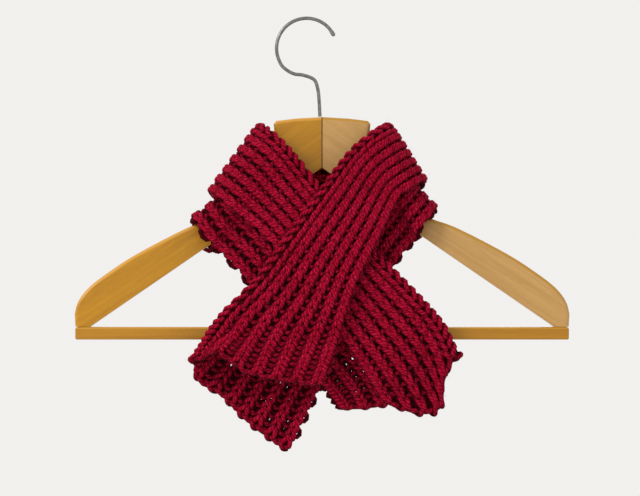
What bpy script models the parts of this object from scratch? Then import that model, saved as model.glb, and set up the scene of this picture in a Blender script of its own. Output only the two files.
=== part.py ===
"""A short knitted scarf wound round the neck of a wooden coat hanger.

The scarf is one straight strip of chunky one-by-one rib, folded lengthwise, so that it hangs as
two layers joined by a soft fold along the neck edge.  It starts at its cast-on end at the lower
right, runs up to the left in front of the hanger, turns behind it, droops across its back, comes
forward on the right and runs down to the left, where it ends in an open, flared mouth.  A slit in
the fold of this last stretch lets the first one through, between its two layers.

The hanger is two flat arms mitred on the centre line, a trouser bar and a wire hook.

Millimetres are used inside the script and turned into metres when a mesh is made.  +X is to the
right, +Y away from the viewer, +Z up.  The origin is the inside top of the hook, where it hangs.
"""

import math

import bmesh
import bpy
from mathutils import Vector

METRE = 0.001
SEAM_GAP = 0.3

# Hanger, measured from its own centre line.
CENTRE_X = 13.5
ARM_THICKNESS = 12.0
ARM_SWEEP = 0.18
ARM_EDGE_ROUND = 4.6
MITRE_Z = -132.6
TIP_INNER_X = 203.5
BAR_TOP_Z = -273.9
BAR_SEAT_X = 200.4
BAR_SEAT_SLOPE = 0.3
BAR_SEAT_DEPTH = 0.35
BAR_HEIGHT = 10.8
BAR_DEPTH = 11.0
BAR_HALF_LENGTH = 214.0
BAR_Y = -39.8

# Outline of one arm above its straight lower edge, from the crown out to the tip.
ARM_OUTLINE = [
    # out     z
    (0.0, -87.2),
    (24.0, -87.9),
    (37.0, -89.6),
    (43.0, -94.0),
    (42.0, -110.0),
    (42.6, -124.0),
    (47.5, -139.5),
    (58.0, -153.0),
    (75.0, -166.5),
    (95.0, -177.8),
    (115.5, -185.2),
    (141.3, -198.0),
    (167.5, -212.6),
    (185.5, -224.6),
    (200.2, -235.6),
    (209.0, -244.6),
    (214.2, -253.4),
    (216.4, -262.5),
    (215.8, -273.5),
]

# Hook: a wire bent from the crown into a round loop.
WIRE_DIAMETER = 3.2
LOOP_RADIUS = 27.0
LOOP_CENTRE = (-0.3, -LOOP_RADIUS + WIRE_DIAMETER / 2.0)
HOOK_FIRST_DEGREES = 219.0
HOOK_LAST_DEGREES = 27.0
HOOK_STEM = [
    # x      z
    (11.6, -86.6),
    (10.9, -73.0),
    (9.7, -62.0),
    (6.4, -53.6),
    (-3.0, -49.6),
    (-12.6, -48.0),
]

# Scarf: columns of stitches run along it, counted across from the outer layer's selvedge.
COLUMNS = 28.0
FOLD_COLUMN = 13.0
FOLD_HALF = 0.75
FOLD_DEPTH = 6.6
WALL = 7.6
LAYER_PITCH = 9.6

# How far back the hindmost layer lies in front of the hanger, by height.
DEPTH_BY_HEIGHT = [
    # z      y
    (-60.0, -13.0),
    (-110.0, -15.0),
    (-150.0, -21.5),
    (-190.0, -31.5),
    (-230.0, -41.0),
    (-268.0, -51.5),
    (-300.0, -53.0),
    (-400.0, -55.0),
]

# Rows across the scarf in front of the hanger.  "along" is the distance from the cast-on end,
# x and z place the fold at the neck edge, an angle is the fall of a layer below the level, a
# width is how far it reaches from the fold, a bow is how far its middle runs ahead of its ends,
# and "settle" is how far the row has left the turn and lies on what is behind it.
UNDER_ROWS = [
    # along    x       z    out°  out_w  in°   in_w  out_bow in_bow settle
    (0.0, 112.5, -299.0, 31.0, 70.0, 24.0, 106.0, -28.0, -13.0, 1.0),
    (28.0,    99.0, -274.0, 37.0,  72.0, 34.0, 108.0, -14.0,  -6.0, 1.0),
    (62.0,    77.8, -249.7, 42.0,  68.0, 42.0, 106.0,  -4.0,   0.0, 1.0),
    (112.0,   39.6, -210.3, 46.0,  61.0, 46.0, 103.0,   0.0,   0.0, 1.0),
    (150.0,   16.0, -182.0, 45.0,  58.0, 47.0,  98.0,   0.0,   0.0, 1.0),
    (187.0,   -7.3, -155.0, 42.5,  57.5, 47.0,  95.0,   0.0,   0.0, 0.9),
    (213.0,  -25.8, -131.1, 46.8,  63.5, 47.5, 100.0,   0.0,   0.0, 0.35),
]
OVER_ROWS = [
    # along    x       z    out°  out_w  in°   in_w  out_bow in_bow settle
    (478.0,   27.3, -126.7, 46.0,  52.0, 51.0,  88.0,   0.0,   0.0, 0.35),
    (514.0,    5.6, -157.1, 43.7,  58.0, 46.0,  84.0,   0.0,   0.0, 1.0),
    (562.0,  -26.0, -201.0, 32.5,  64.5, 38.0,  89.0,   0.0,   0.0, 1.0),
    (600.0,  -52.0, -236.5, 23.0,  76.0, 37.5,  96.0,   0.0,   0.0, 1.0),
    (632.0,  -79.0, -263.4, 15.0,  94.0, 38.0,  99.0,   0.0,   0.0, 1.0),
    (700.0, -104.0, -300.0, 11.0, 106.0, 46.0, 109.0,   2.0,   8.0, 1.0),
]

# How the bind-off end hangs open, as millimetres moved round one column of each layer.
FLARE_FROM = 645.0
RIM_COLUMN = 10.4
RIM_SPAN = 1.9
RIM_UP = 12.0
RIM_FORWARD = 3.0
BOW_COLUMN = 15.7
BOW_SPAN = 2.0
BOW_OUT = 11.0
BOW_DOWN = 3.0
CORNER_SPAN = 1.6
CORNER_DROP = 5.0
TUCK_UNTIL = 45.0
TUCK_COLUMN = 10.0
TUCK_SPAN = 2.2
TUCK_IN = 7.0

UNDER_OUT_RANK = 2.0
UNDER_IN_RANK = 1.0
OVER_OUT_RANK = 3.0
OVER_IN_RANK = 0.0

# The turns round the sides of the hanger: the axis starts beside the neck and runs outwards.
LEFT_TURN = dict(along=270.0, axis_x=-38.0, axis_z=-114.0, out=-0.54, down=-0.84,
                 radius=20.0, flare=0.05, slip=5.0, out_w=68.0, in_w=96.0, kick=9.0)
RIGHT_TURN = dict(along=424.0, axis_x=40.0, axis_z=-113.0, out=0.49, down=-0.872,
                  radius=21.0, flare=0.04, slip=4.0, out_w=53.0, in_w=79.0, kick=5.0)
TURN_AXIS_BACK = -6.5
TURN_AXIS_SWEEP = -0.12
TURN_GAP = 9.8
FRONT_NECK_Y = -27.0
FRONT_SPREAD = 8.0
KICK_FROM = 0.6
TURN_DEGREES = [0.0, 36.0, 72.0, 108.0, 144.0, 180.0]

# The nape stretch droops behind the hanger between the two turns.
NAPE = dict(along=347.0, x=1.0, y=38.0, z=-128.0, lean=-0.26, gap=9.8, out_w=70.0, in_w=84.0)

SLIT = (504.0, 610.0)
LEFT_SEAM = 284.0
RIGHT_SEAM = 410.0
SEAM_HALF = 0.6
LENGTH = 700.0
ROW_STEP = 11.0
SLOPE_STEP = 3.0
SLOPE_COLUMNS = 0.2

COLOURS = {
    "crimson_knit": ((0.38, 0.008, 0.060, 1.0), 0.9, 0.0),
    "golden_beech": ((0.55, 0.34, 0.14, 1.0), 0.45, 0.0),
    "zinc_wire": ((0.55, 0.55, 0.53, 1.0), 0.35, 1.0),
}


def clear_scene():
    for thing in list(bpy.data.objects):
        bpy.data.objects.remove(thing, do_unlink=True)


def make_material(name):
    colour, roughness, metallic = COLOURS[name]
    material = bpy.data.materials.new(name)
    material.use_nodes = True
    shader = material.node_tree.nodes["Principled BSDF"]
    shader.inputs["Base Color"].default_value = colour
    shader.inputs["Roughness"].default_value = roughness
    shader.inputs["Metallic"].default_value = metallic
    return material


def add_object(name, bm, material, smooth_degrees=40.0):
    """Turn a bmesh in millimetres into a named object in metres."""
    bmesh.ops.recalc_face_normals(bm, faces=bm.faces)
    for vert in bm.verts:
        vert.co *= METRE
    mesh = bpy.data.meshes.new(name)
    bm.to_mesh(mesh)
    bm.free()
    mesh.shade_smooth()
    mesh.set_sharp_from_angle(angle=math.radians(smooth_degrees))
    mesh.materials.append(material)
    thing = bpy.data.objects.new(name, mesh)
    bpy.context.scene.collection.objects.link(thing)
    return thing


# ---------------------------------------------------------------- scarf

def turn_station(turn, degrees, side):
    """One row of a turn.  side is -1 on the left and +1 on the right; 0 degrees faces front."""
    axis = Vector((turn["out"], TURN_AXIS_SWEEP, turn["down"])).normalized()
    outward = Vector((side * -turn["down"], 0.0, side * turn["out"])).normalized()
    angle = math.radians(degrees)
    normal = Vector((0.0, -1.0, 0.0)) * math.cos(angle) + outward * math.sin(angle)
    normal = (normal - axis * normal.dot(axis)).normalized()
    start = Vector((turn["axis_x"], TURN_AXIS_BACK, turn["axis_z"]))
    start += axis * turn["slip"] * (1.0 - math.sin(angle))
    span = (axis + normal * turn["flare"]).normalized()
    mean_radius = turn["radius"] + turn["flare"] * 40.0
    swing = angle - math.pi / 2.0
    along = turn["along"] - side * swing * mean_radius
    return dict(along=along, neck=start + normal * turn["radius"], normal=normal,
                out_dir=span, in_dir=span, gap=TURN_GAP, out_w=turn["out_w"],
                in_w=turn["in_w"] + FRONT_SPREAD * math.cos(angle) ** 2, out_bow=0.0, in_bow=0.0,
                kick=turn["kick"] * math.sin(angle), settle=0.0, out_rank=0.0, in_rank=0.0)


def front_station(row, side, ranks):
    """One row in front of the hanger.  side is the way that the layers reach from the fold."""
    along, x, z, out_angle, out_w, in_angle, in_w, out_bow, in_bow, settle = row
    out_angle = math.radians(out_angle)
    in_angle = math.radians(in_angle)
    out_dir = Vector((side * math.cos(out_angle), TURN_AXIS_SWEEP, -math.sin(out_angle)))
    in_dir = Vector((side * math.cos(in_angle), TURN_AXIS_SWEEP, -math.sin(in_angle)))
    return dict(along=along, neck=Vector((x, FRONT_NECK_Y, z)), normal=Vector((0.0, -1.0, 0.0)),
                out_dir=out_dir.normalized(), in_dir=in_dir.normalized(), gap=TURN_GAP + 1.0,
                out_w=out_w, in_w=in_w, out_bow=out_bow, in_bow=in_bow, kick=0.0,
                settle=settle,
                out_rank=ranks[0], in_rank=ranks[1])


def nape_station():
    down = Vector((0.0, NAPE["lean"], -1.0)).normalized()
    back = Vector((0.0, 1.0, NAPE["lean"])).normalized()
    return dict(along=NAPE["along"], neck=Vector((NAPE["x"], NAPE["y"], NAPE["z"])), normal=back,
                out_dir=down, in_dir=down, gap=NAPE["gap"], out_w=NAPE["out_w"],
                in_w=NAPE["in_w"], out_bow=0.0, in_bow=0.0, kick=0.0, settle=0.0,
                out_rank=0.0, in_rank=0.0)


def all_stations():
    under = (UNDER_OUT_RANK, UNDER_IN_RANK)
    over = (OVER_OUT_RANK, OVER_IN_RANK)
    stations = [front_station(row, -1, under) for row in UNDER_ROWS]
    for degrees in TURN_DEGREES:
        station = turn_station(LEFT_TURN, degrees, -1)
        station["out_rank"], station["in_rank"] = under
        stations.append(station)
    stations.append(nape_station())
    for degrees in reversed(TURN_DEGREES):
        station = turn_station(RIGHT_TURN, degrees, 1)
        station["out_rank"], station["in_rank"] = over
        stations.append(station)
    stations += [front_station(row, 1, over) for row in OVER_ROWS]
    return stations


def hermite(before, left, right, after, times, t):
    """Smooth value between left and right, with slopes taken from their neighbours."""
    t0, t1, t2, t3 = times
    step = t2 - t1
    slope_left = (right - before) / (t2 - t0)
    slope_right = (after - left) / (t3 - t1)
    s = (t - t1) / step
    value = left * (2 * s ** 3 - 3 * s ** 2 + 1) + right * (3 * s ** 2 - 2 * s ** 3)
    value = value + slope_left * (step * (s ** 3 - 2 * s ** 2 + s))
    return value + slope_right * (step * (s ** 3 - s ** 2))


def station_at(stations, along):
    """The row at any distance along the scarf, read smoothly between the stations."""
    last = len(stations) - 2
    index = 0
    while index < last and stations[index + 1]["along"] < along:
        index += 1
    rows = [stations[max(index - 1, 0)], stations[index], stations[index + 1],
            stations[min(index + 2, last + 1)]]
    times = [row["along"] for row in rows]
    if index == 0:
        times[0] = times[1] - 1e-3
    if index == last:
        times[3] = times[2] + 1e-3
    blended = {}
    for key in rows[0]:
        a, b, c, d = (row[key] for row in rows)
        if index == 0:
            a = b - (c - b) * (1e-3 / (times[2] - times[1]))
        if index == last:
            d = c + (c - b) * (1e-3 / (times[2] - times[1]))
        blended[key] = hermite(a, b, c, d, times, along)
    blended["settle"] = min(max(blended["settle"], 0.0), 1.0)
    return blended


def depth_at(z):
    """Depth of the hindmost layer at a height, eased between the rows of the table."""
    rows = DEPTH_BY_HEIGHT
    if z >= rows[0][0]:
        return rows[0][1]
    for (upper_z, upper_y), (lower_z, lower_y) in zip(rows, rows[1:]):
        if z >= lower_z:
            return upper_y + (lower_y - upper_y) * (upper_z - z) / (upper_z - lower_z)
    return rows[-1][1]


def cloth_point(station, column):
    """Middle of the cloth at a column of one row."""
    normal = station["normal"].normalized()
    edge = FOLD_COLUMN - FOLD_HALF
    lift = 0.0
    if column <= edge:
        share = (edge - column) / edge
        direction = station["out_dir"].normalized()
        reach = station["out_w"] * share
        side = 1.0
        bow = station["out_bow"] * math.sin(math.pi * share)
    elif column >= FOLD_COLUMN + FOLD_HALF:
        share = (column - FOLD_COLUMN - FOLD_HALF) / (COLUMNS - FOLD_COLUMN - FOLD_HALF)
        direction = station["in_dir"].normalized()
        reach = station["in_w"] * share
        side = -1.0
        bow = station["in_bow"] * math.sin(math.pi * share)
        lift = station["kick"] * (max(share - KICK_FROM, 0.0) / (1.0 - KICK_FROM)) ** 2
    else:
        turn = math.pi * (column - edge) / (2.0 * FOLD_HALF)
        mix = (1.0 - math.cos(turn)) / 2.0
        direction = station["out_dir"].lerp(station["in_dir"], mix).normalized()
        reach = -FOLD_DEPTH * math.sin(turn)
        side = math.cos(turn)
        bow = 0.0
    ahead = direction.cross(normal).normalized()
    point = station["neck"] + direction * reach + ahead * bow
    point = point + normal * (side * station["gap"] / 2.0 + lift)
    mix = (1.0 + side) / 2.0
    rank = station["out_rank"] * mix + station["in_rank"] * (1.0 - mix)
    settled_y = depth_at(point.z) - LAYER_PITCH * rank
    point.y += (settled_y - point.y) * station["settle"]
    return point


def end_flare(along, column):
    """How the two ends leave the plain strip.

    The bind-off end hangs open: its front rim arches up and the cloth behind bows out.  The
    cast-on end is drawn in a little beside the fold.
    """
    share = min(max((along - FLARE_FROM) / (LENGTH - FLARE_FROM), 0.0), 1.0)
    reach = share * share * (3.0 - 2.0 * share)
    rim = reach * math.exp(-((column - RIM_COLUMN) / RIM_SPAN) ** 2)
    bow = reach * math.exp(-((column - BOW_COLUMN) / BOW_SPAN) ** 2)
    corner = reach * math.exp(-((column - FOLD_COLUMN) / CORNER_SPAN) ** 2)
    up = RIM_UP * rim - BOW_DOWN * bow - CORNER_DROP * corner
    share = min(max((TUCK_UNTIL - along) / TUCK_UNTIL, 0.0), 1.0)
    tuck = share * share * math.exp(-((column - TUCK_COLUMN) / TUCK_SPAN) ** 2)
    return Vector((-BOW_OUT * bow - TUCK_IN * tuck, -RIM_FORWARD * rim, up))


def cloth_frame(stations, along, column):
    """Middle of the cloth and the direction that its right side faces."""
    before = station_at(stations, max(along - SLOPE_STEP, 0.0))
    after = station_at(stations, min(along + SLOPE_STEP, LENGTH))
    here = station_at(stations, along)
    left = min(column + SLOPE_COLUMNS, COLUMNS)
    right = max(column - SLOPE_COLUMNS, 0.0)
    across = cloth_point(here, left) + end_flare(along, left)
    across = across - cloth_point(here, right) - end_flare(along, right)
    forward = cloth_point(after, column) + end_flare(along + SLOPE_STEP, column)
    forward = forward - cloth_point(before, column) - end_flare(along - SLOPE_STEP, column)
    middle = cloth_point(here, column) + end_flare(along, column)
    return middle, across.cross(forward).normalized()


def column_list():
    edge = FOLD_COLUMN - FOLD_HALF
    rest = COLUMNS - FOLD_COLUMN - FOLD_HALF
    columns = [edge * step / 6.0 for step in range(6)]
    columns += [edge + 2.0 * FOLD_HALF * step / 6.0 for step in range(6)]
    columns += [FOLD_COLUMN + FOLD_HALF + rest * step / 7.0 for step in range(8)]
    return columns


def scarf_stretch(name, first, last, material, slit=None):
    """A closed wall of cloth between two distances along the scarf."""
    stations = all_stations()
    columns = column_list()
    stops = {first, last}
    if slit:
        stops.update(slit)
    stops = sorted(stops)
    places = []
    for start, end in zip(stops, stops[1:]):
        count = max(1, round((end - start) / ROW_STEP))
        places += [start + (end - start) * step / count for step in range(count)]
    places.append(last)
    bm = bmesh.new()
    outer = []
    inner = []
    for place in places:
        outer.append([])
        inner.append([])
        for column in columns:
            point, normal = cloth_frame(stations, place, column)
            outer[-1].append(bm.verts.new(point + normal * (WALL / 2.0)))
            inner[-1].append(bm.verts.new(point - normal * (WALL / 2.0)))

    def kept(i, j):
        if not (0 <= i < len(places) - 1 and 0 <= j < len(columns) - 1):
            return False
        if slit is None:
            return True
        in_fold = abs((columns[j] + columns[j + 1]) / 2.0 - FOLD_COLUMN) < FOLD_HALF
        return not (in_fold and slit[0] <= (places[i] + places[i + 1]) / 2.0 <= slit[1])

    for i in range(len(places) - 1):
        for j in range(len(columns) - 1):
            if not kept(i, j):
                continue
            ring = [(i, j), (i, j + 1), (i + 1, j + 1), (i + 1, j)]
            bm.faces.new([outer[a][b] for a, b in ring])
            bm.faces.new([inner[a][b] for a, b in reversed(ring)])
            borders = [((i - 1, j), ring[0], ring[1]), ((i, j + 1), ring[1], ring[2]),
                       ((i + 1, j), ring[2], ring[3]), ((i, j - 1), ring[3], ring[0])]
            for neighbour, start, end in borders:
                if not kept(*neighbour):
                    bm.faces.new([inner[start[0]][start[1]], inner[end[0]][end[1]],
                                  outer[end[0]][end[1]], outer[start[0]][start[1]]])
    loose = [vert for vert in bm.verts if not vert.link_faces]
    bmesh.ops.delete(bm, geom=loose, context="VERTS")
    for vert in bm.verts:
        vert.co.x += CENTRE_X
    bmesh.ops.triangulate(bm, faces=bm.faces)
    return add_object(name, bm, material, 60.0)


# ---------------------------------------------------------------- hanger

def hanger_arm(name, side, material):
    """A flat arm that sweeps forward from the mitre on the centre line."""
    outline = [(max(out, SEAM_GAP / 2.0), z) for out, z in ARM_OUTLINE]
    outline += [(TIP_INNER_X, BAR_TOP_Z + SEAM_GAP), (SEAM_GAP / 2.0, MITRE_Z)]
    bm = bmesh.new()
    faces = []
    for half in (-1.0, 1.0):
        ring = []
        for out, z in outline:
            y = -ARM_SWEEP * out + half * ARM_THICKNESS / 2.0
            ring.append(bm.verts.new((CENTRE_X + side * out, y, z)))
        faces.append(ring)
    bm.faces.new(faces[0])
    bm.faces.new(list(reversed(faces[1])))
    count = len(outline)
    for index in range(count):
        after = (index + 1) % count
        bm.faces.new([faces[0][after], faces[0][index], faces[1][index], faces[1][after]])
    rounded = []
    for ring in faces:
        for index in range(len(ARM_OUTLINE) - 1):
            rounded.append(bm.edges.get((ring[index], ring[index + 1])))
    bmesh.ops.bevel(bm, geom=rounded, offset=ARM_EDGE_ROUND, segments=4, profile=0.5,
                    affect="EDGES", clamp_overlap=True)
    bmesh.ops.triangulate(bm, faces=bm.faces)
    return add_object(name, bm, material)


def trouser_bar(material):
    bm = bmesh.new()
    bmesh.ops.create_cube(bm, size=1.0)
    for vert in bm.verts:
        vert.co.x = vert.co.x * 2.0 * BAR_HALF_LENGTH + CENTRE_X
        vert.co.y = vert.co.y * BAR_DEPTH + BAR_Y
        vert.co.z = (vert.co.z - 0.5) * BAR_HEIGHT + BAR_TOP_Z
    rounding = 1.4
    bmesh.ops.bevel(bm, geom=list(bm.edges), offset=rounding, segments=3, profile=0.5,
                    affect="EDGES")
    for side in (-1.0, 1.0):
        for out in (BAR_SEAT_X, BAR_SEAT_X + BAR_SEAT_SLOPE):
            geometry = list(bm.verts) + list(bm.edges) + list(bm.faces)
            bmesh.ops.bisect_plane(bm, geom=geometry, plane_co=(CENTRE_X + side * out, 0, 0),
                                   plane_no=(1.0, 0.0, 0.0))
    # The ends are let down a little as seats for the tips of the arms.
    for vert in bm.verts:
        below = BAR_TOP_Z - vert.co.z
        on_seat = abs(vert.co.x - CENTRE_X) > BAR_SEAT_X + BAR_SEAT_SLOPE / 2.0
        if on_seat and below < rounding:
            vert.co.z -= BAR_SEAT_DEPTH * (1.0 - max(below, 0.0) / rounding)
    bmesh.ops.triangulate(bm, faces=bm.faces)
    return add_object("hanger_bar", bm, material)


def hook_path():
    """Centre line of the wire: the stem's points, then an arc to the tip."""
    points = [Vector((x, 0.0, z)) for x, z in HOOK_STEM]
    steps = 30
    for step in range(steps + 1):
        degrees = HOOK_FIRST_DEGREES + (HOOK_LAST_DEGREES - HOOK_FIRST_DEGREES) * step / steps
        angle = math.radians(degrees)
        points.append(Vector((LOOP_CENTRE[0] + LOOP_RADIUS * math.cos(angle), 0.0,
                              LOOP_CENTRE[1] + LOOP_RADIUS * math.sin(angle))))
    return points


def smooth_path(points, parts):
    """Points read from a smooth curve through the given ones."""
    result = []
    last = len(points) - 1
    for index in range(last):
        rows = [points[max(index - 1, 0)], points[index], points[index + 1],
                points[min(index + 2, last)]]
        times = [0.0, 1.0, 2.0, 3.0]
        for part in range(parts):
            result.append(hermite(*rows, times, 1.0 + part / parts))
    result.append(points[-1])
    return result


def wire_hook(material):
    curve = bpy.data.curves.new("hook_wire", "CURVE")
    curve.dimensions = "3D"
    curve.bevel_depth = WIRE_DIAMETER / 2.0 * METRE
    curve.bevel_resolution = 3
    curve.use_fill_caps = True
    path = smooth_path(hook_path()[:len(HOOK_STEM)], 3) + hook_path()[len(HOOK_STEM):]
    spline = curve.splines.new("POLY")
    spline.points.add(len(path) - 1)
    for point, place in zip(spline.points, path):
        point.co = (place.x * METRE, place.y * METRE, place.z * METRE, 1.0)
    curve.materials.append(material)
    thing = bpy.data.objects.new("hanger_hook", curve)
    bpy.context.scene.collection.objects.link(thing)
    return thing


def main():
    clear_scene()
    knit = make_material("crimson_knit")
    wood = make_material("golden_beech")
    zinc = make_material("zinc_wire")
    hanger_arm("hanger_arm_left", -1, wood)
    hanger_arm("hanger_arm_right", 1, wood)
    trouser_bar(wood)
    wire_hook(zinc)
    scarf_stretch("scarf_under_stretch", 0.0, LEFT_SEAM - SEAM_HALF, knit)
    scarf_stretch("scarf_nape_stretch", LEFT_SEAM + SEAM_HALF, RIGHT_SEAM - SEAM_HALF, knit)
    scarf_stretch("scarf_over_stretch", RIGHT_SEAM + SEAM_HALF, LENGTH, knit, SLIT)


main()
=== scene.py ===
"""Looks of the knitted scarf on its wooden hanger.

Every stitch of the scarf is real yarn: strands run to and fro across the rows of each part, in
loops that stand in front in the knit columns and behind in the purl ones.  They are laid on the
same folded strip that the CAD solids follow, so the rows come from the same short tables.
"""

import math

import bmesh
import bpy
import numpy as np
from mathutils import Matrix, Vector


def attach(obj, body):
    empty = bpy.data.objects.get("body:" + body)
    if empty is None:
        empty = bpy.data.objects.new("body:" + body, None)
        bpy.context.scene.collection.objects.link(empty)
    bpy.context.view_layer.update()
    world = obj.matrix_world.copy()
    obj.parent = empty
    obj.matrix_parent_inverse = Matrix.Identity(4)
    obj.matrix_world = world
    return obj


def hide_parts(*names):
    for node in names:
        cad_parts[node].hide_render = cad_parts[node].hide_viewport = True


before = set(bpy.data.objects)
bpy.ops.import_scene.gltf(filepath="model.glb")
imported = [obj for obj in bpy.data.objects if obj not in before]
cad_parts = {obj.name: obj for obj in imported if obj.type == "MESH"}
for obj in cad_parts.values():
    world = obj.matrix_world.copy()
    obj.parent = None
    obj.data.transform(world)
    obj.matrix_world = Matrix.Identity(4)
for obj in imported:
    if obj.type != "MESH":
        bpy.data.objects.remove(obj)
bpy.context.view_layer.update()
METRE = 0.001

# Hanger, measured from its own centre line.
CENTRE_X = 13.5
ARM_THICKNESS = 12.0
ARM_SWEEP = 0.18
ARM_EDGE_ROUND = 3.8
ARM_EDGE_STEPS = 6
ARM_CRISP_POINTS = 3
ARM_CURVE_PARTS = 5
MITRE_Z = -132.6
TIP_INNER_X = 203.5
BAR_TOP_Z = -273.9
BAR_HEIGHT = 10.8
BAR_DEPTH = 11.0
BAR_EDGE_ROUND = 1.6
BAR_EDGE_STEPS = 5
BAR_HALF_LENGTH = 215.6
BAR_Y = -39.8

# Outline of one arm above its straight lower edge, from the crown out to the tip.
ARM_OUTLINE = [
    # out     z
    (0.0, -87.2),
    (24.0, -88.9),
    (40.8, -91.2),
    (43.2, -94.0),
    (42.0, -110.0),
    (42.6, -124.0),
    (47.5, -139.5),
    (58.0, -153.0),
    (75.0, -166.5),
    (95.0, -177.8),
    (115.5, -185.2),
    (141.3, -198.0),
    (167.5, -212.6),
    (185.5, -224.6),
    (200.2, -235.6),
    (209.0, -244.6),
    (214.2, -253.4),
    (216.4, -262.5),
    (215.8, -273.5),
]

# Hook: a wire bent from the crown into a round loop.
WIRE_DIAMETER = 3.2
WIRE_SIDES = 14
HOOK_STEPS = 12
HOOK_CURVE_PARTS = 8
TIP_LENGTH = 1.6
TIP_STEPS = (0.5, 1.1, 1.5)
TIP_SWELL = 0.22
TIP_SWELL_BACK = 3.0
TIP_SWELL_SPAN = 2.6
LOOP_RADIUS = 27.0
LOOP_CENTRE = (-0.3, -LOOP_RADIUS + WIRE_DIAMETER / 2.0)
HOOK_FIRST_DEGREES = 219.0
HOOK_LAST_DEGREES = 27.0
HOOK_STEM = [
    # x      z
    (11.6, -86.6),
    (10.9, -73.0),
    (9.7, -62.0),
    (6.4, -53.6),
    (-3.0, -49.6),
    (-12.6, -48.0),
]

# Scarf: columns of stitches run along it, counted across from the outer layer's selvedge.
COLUMNS = 28.0
FOLD_COLUMN = 13.0
FOLD_HALF = 0.75
FOLD_DEPTH = 6.6
LAYER_PITCH = 9.6

# Depth at which the hindmost layer lies in front of the hanger, by height.
DEPTH_BY_HEIGHT = [
    # z      y
    (-60.0, -13.0),
    (-110.0, -15.0),
    (-150.0, -21.5),
    (-190.0, -31.5),
    (-230.0, -41.0),
    (-268.0, -51.5),
    (-300.0, -53.0),
    (-400.0, -55.0),
]

# Rows across the scarf in front of the hanger.  "along" is the distance from the cast-on end,
# x and z place the fold at the neck edge, an angle is the fall of a layer below the level, a
# width is how far it reaches from the fold, a bow is how far its middle runs ahead of its ends,
# and "settle" is how far the row has left the turn and lies on what is behind it.
UNDER_ROWS = [
    # along    x       z    out°  out_w  in°   in_w  out_bow in_bow settle
    (0.0,   112.5, -299.0, 31.0,  70.0, 24.0, 106.0, -28.0, -13.0, 1.0),
    (28.0,    99.0, -274.0, 37.0,  72.0, 34.0, 108.0, -14.0,  -6.0, 1.0),
    (62.0,    77.8, -249.7, 42.0,  68.0, 42.0, 106.0,  -4.0,   0.0, 1.0),
    (112.0,   39.6, -210.3, 46.0,  61.0, 46.0, 103.0,   0.0,   0.0, 1.0),
    (150.0,   16.0, -182.0, 45.0,  58.0, 47.0,  98.0,   0.0,   0.0, 1.0),
    (187.0,   -7.3, -155.0, 42.5,  57.5, 47.0,  95.0,   0.0,   0.0, 0.9),
    (213.0,  -25.8, -131.1, 46.8,  63.5, 47.5, 100.0,   0.0,   0.0, 0.35),
]
OVER_ROWS = [
    # along    x       z    out°  out_w  in°   in_w  out_bow in_bow settle
    (478.0,   27.3, -126.7, 46.0,  52.0, 51.0,  88.0,   0.0,   0.0, 0.35),
    (514.0,    5.6, -157.1, 43.7,  58.0, 46.0,  84.0,   0.0,   0.0, 1.0),
    (562.0,  -26.0, -201.0, 32.5,  64.5, 38.0,  89.0,   0.0,   0.0, 1.0),
    (600.0,  -52.0, -236.5, 23.0,  76.0, 37.5,  96.0,   0.0,   0.0, 1.0),
    (632.0,  -79.0, -263.4, 15.0,  94.0, 38.0,  99.0,   0.0,   0.0, 1.0),
    (700.0, -104.0, -300.0, 11.0, 106.0, 46.0, 109.0,   2.0,   8.0, 1.0),
]

# How the bind-off end hangs open, as millimetres moved round one column of each layer.
FLARE_FROM = 645.0
RIM_COLUMN = 10.4
RIM_SPAN = 1.9
RIM_UP = 12.0
RIM_FORWARD = 3.0
BOW_COLUMN = 15.7
BOW_SPAN = 2.0
BOW_OUT = 11.0
BOW_DOWN = 3.0
CORNER_SPAN = 1.6
CORNER_DROP = 5.0
TUCK_UNTIL = 45.0
TUCK_COLUMN = 10.0
TUCK_SPAN = 2.2
TUCK_IN = 7.0

UNDER_OUT_RANK = 2.0
UNDER_IN_RANK = 1.0
OVER_OUT_RANK = 3.0
OVER_IN_RANK = 0.0

# The turns round the sides of the hanger: the axis starts beside the neck and runs outwards.
LEFT_TURN = dict(along=270.0, axis_x=-38.0, axis_z=-114.0, out=-0.54, down=-0.84,
                 radius=20.0, flare=0.05, slip=5.0, out_w=68.0, in_w=96.0, kick=9.0)
RIGHT_TURN = dict(along=424.0, axis_x=40.0, axis_z=-113.0, out=0.49, down=-0.872,
                  radius=21.0, flare=0.04, slip=4.0, out_w=53.0, in_w=79.0, kick=5.0)
TURN_AXIS_BACK = -6.5
TURN_AXIS_SWEEP = -0.12
TURN_GAP = 9.8
TURN_MIDDLE_REACH = 40.0
FRONT_GAP = TURN_GAP + 1.0
FRONT_NECK_Y = -27.0
FRONT_SPREAD = 8.0
KICK_FROM = 0.6
TURN_DEGREES = [0.0, 36.0, 72.0, 108.0, 144.0, 180.0]

# The nape stretch droops behind the hanger between the two turns.
NAPE = dict(along=347.0, x=1.0, y=38.0, z=-128.0, lean=-0.26, gap=9.8, out_w=70.0, in_w=84.0)

SLIT = (504.0, 610.0)
LEFT_SEAM = 284.0
RIGHT_SEAM = 410.0
LENGTH = 700.0

# Knitting: rows of stitches along the strip, and the form of one loop.
ROWS = 80
ROW_EDGE = 5.0
LOOP_HALF_HEIGHT = 6.9
LOOP_SWING = 0.245
LOOP_WIDTH = 1.17
FOLD_SHIFT = 0.26
FOLD_WIDEN = 1.12
LEG_RISE = 1.95
HEAD_DROP = 1.5
YARN_RADIUS = 2.15
STITCH_POINTS = 14
YARN_SIDES = 7
CREST = 5.5
WOBBLE = 0.3
EDGE_SCALLOP = 1.3
SEED = 7

# Where the strand turns at a selvedge it bulges out by a share of a column.
SELVEDGE_BUMP = [
    # share of the step  columns out  height
    (0.1, 0.24, 0.6),
    (0.5, 0.42, 1.0),
    (0.9, 0.24, 0.6),
]

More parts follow.
